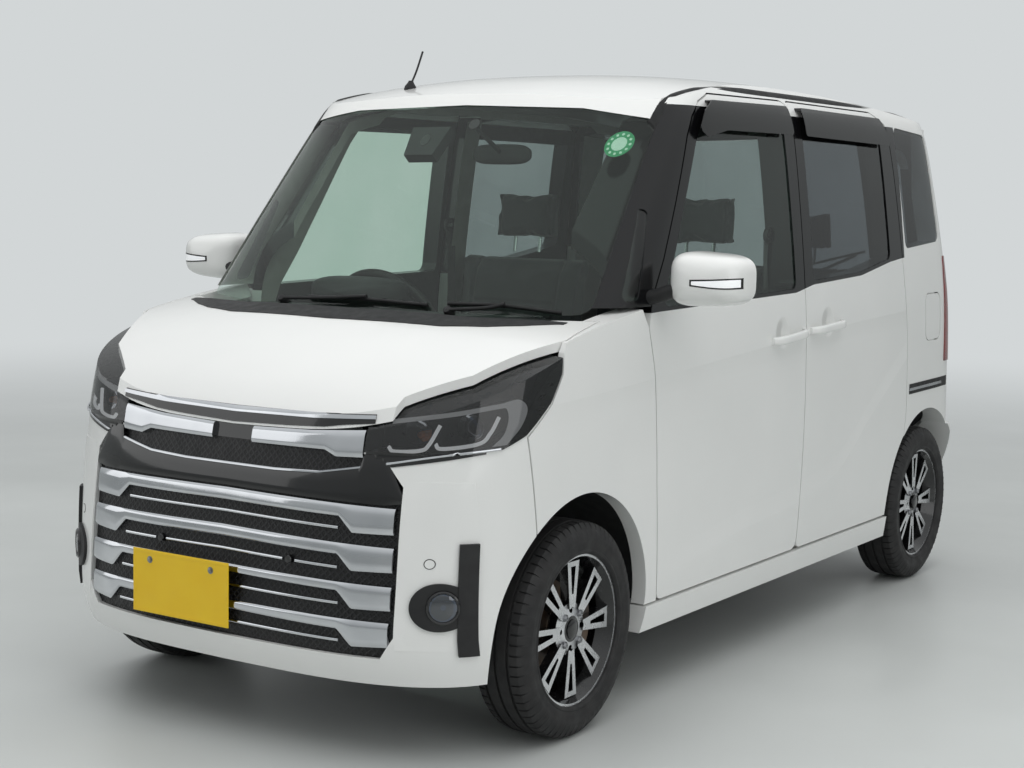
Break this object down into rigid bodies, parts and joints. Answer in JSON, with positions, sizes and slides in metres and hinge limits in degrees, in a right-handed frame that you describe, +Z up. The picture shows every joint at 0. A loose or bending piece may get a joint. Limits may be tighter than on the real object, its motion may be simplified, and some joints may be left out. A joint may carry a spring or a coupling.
{
  "type": "kei car",
  "caption": "Tall short-nosed five-door family car with sliding rear doors, opening front doors, hood, tailgate and fuel lid, steered front wheels and turning road wheels.",
  "frame": {"origin": "on the ground, under the middle of the car's length and width", "axes": "+X is the car's left, +Y its rear, +Z up"},
  "size_m": [1.8752, 3.3912, 1.7737],
  "materials": {
    "body_paint": "pearl white gloss",
    "window_glass": "light tint",
    "privacy_glass": "dark tint",
    "lamp": "clear",
    "tail_lamp": "clear red",
    "black_plastic": "grained",
    "gloss_black": "gloss",
    "tyre": "matte",
    "rim": "black with machined edges",
    "iron": "machined",
    "steel": "satin black",
    "fabric": "woven",
    "trim": "grained",
    "alu": "cast"
  },
  "bodies": {
    "body": {"dashboard": "trim", "door_frames": "body_paint", "door_seals": "black_plastic", "engine": "alu", "exhaust": "alu", "floor_pan": "steel", "fog_lamps": "lamp", "front_bumper": "body_paint", "front_fenders": "body_paint", "front_frame": "steel", "front_seats": "fabric", "fuel_tank": "alu", "grille": "gloss_black", "headlamps": "lamp", "quarter_windows": "window_glass", "radiator": "alu", "rear_axle": "steel", "rear_bumper": "body_paint", "rear_seat": "fabric", "roof": "body_paint", "roof_channels": "black_plastic", "side_bodies": "body_paint", "side_skirts": "body_paint", "sliding_door_glass": "privacy_glass", "sliding_doors": "body_paint", "sliding_visors": "privacy_glass", "tail_lamps": "tail_lamp", "wheelhouses": "black_plastic", "windscreen": "window_glass"},
    "front_door_left": {"front_door_left": "body_paint", "front_door_glass_left": "window_glass", "mirror_left": "body_paint", "visor_left": "privacy_glass"},
    "front_door_right": {"front_door_right": "body_paint", "front_door_glass_right": "window_glass", "mirror_right": "body_paint", "visor_right": "privacy_glass"},
    "hood": {"hood": "body_paint"},
    "tailgate": {"tailgate": "body_paint", "tailgate_glass": "privacy_glass"},
    "fuel_lid": {"fuel_lid": "body_paint"},
    "steering_wheel": {"steering_wheel": "trim"},
    "knuckle_left": {"knuckle_left": "iron"},
    "knuckle_right": {"knuckle_right": "iron"},
    "wheel_front_left": {"tyre_front_left": "tyre", "rim_front_left": "rim", "brake_front_left": "iron"},
    "wheel_front_right": {"tyre_front_right": "tyre", "rim_front_right": "rim", "brake_front_right": "iron"},
    "wheel_rear_left": {"tyre_rear_left": "tyre", "rim_rear_left": "rim", "brake_rear_left": "iron"},
    "wheel_rear_right": {"tyre_rear_right": "tyre", "rim_rear_right": "rim", "brake_rear_right": "iron"}
  },
  "joints": [
    {"name": "front_door_left_hinge", "type": "hinge", "parent": "body", "child": "front_door_left", "pos_m": [0.727, -0.803, 0.7], "axis": [0, 0, -1], "range_deg": [0, 62]},
    {"name": "front_door_right_hinge", "type": "hinge", "parent": "body", "child": "front_door_right", "pos_m": [-0.727, -0.803, 0.7], "axis": [0, 0, 1], "range_deg": [0, 62]},
    {"name": "hood_hinge", "type": "hinge", "parent": "body", "child": "hood", "pos_m": [0, -1.012, 1.085], "axis": [-1, 0, 0], "range_deg": [0, 50]},
    {"name": "tailgate_hinge", "type": "hinge", "parent": "body", "child": "tailgate", "pos_m": [0, 1.5, 1.712], "axis": [1, 0, 0], "range_deg": [0, 80]},
    {"name": "fuel_lid_hinge", "type": "hinge", "parent": "body", "child": "fuel_lid", "pos_m": [0.736, 1.255, 0.97], "axis": [0, 0, -1], "range_deg": [0, 85]},
    {"name": "steering_left", "type": "hinge", "parent": "body", "child": "knuckle_left", "pos_m": [0.6, -1.125, 0.281], "axis": [0, 0, 1], "range_deg": [-36, 36]},
    {"name": "steering_right", "type": "hinge", "parent": "body", "child": "knuckle_right", "pos_m": [-0.6, -1.125, 0.281], "axis": [0, 0, 1], "range_deg": [-36, 36]},
    {"name": "steering_wheel_turn", "type": "hinge", "parent": "body", "child": "steering_wheel", "pos_m": [-0.34, -0.545, 0.975], "axis": [0, 0.8829, 0.4695], "range_deg": [-540, 540]},
    {"name": "wheel_front_left_spin", "type": "hinge", "parent": "knuckle_left", "child": "wheel_front_left", "pos_m": [0.65, -1.125, 0.281], "axis": [1, 0, 0], "continuous": true},
    {"name": "wheel_front_right_spin", "type": "hinge", "parent": "knuckle_right", "child": "wheel_front_right", "pos_m": [-0.65, -1.125, 0.281], "axis": [1, 0, 0], "continuous": true},
    {"name": "wheel_rear_left_spin", "type": "hinge", "parent": "body", "child": "wheel_rear_left", "pos_m": [0.645, 1.305, 0.281], "axis": [1, 0, 0], "continuous": true},
    {"name": "wheel_rear_right_spin", "type": "hinge", "parent": "body", "child": "wheel_rear_right", "pos_m": [-0.645, 1.305, 0.281], "axis": [1, 0, 0], "continuous": true}
  ],
  "couplings": [
    {"joint": "steering_right", "follows": "steering_left", "ratio": 1},
    {"joint": "steering_wheel_turn", "follows": "steering_left", "ratio": 15}
  ]
}
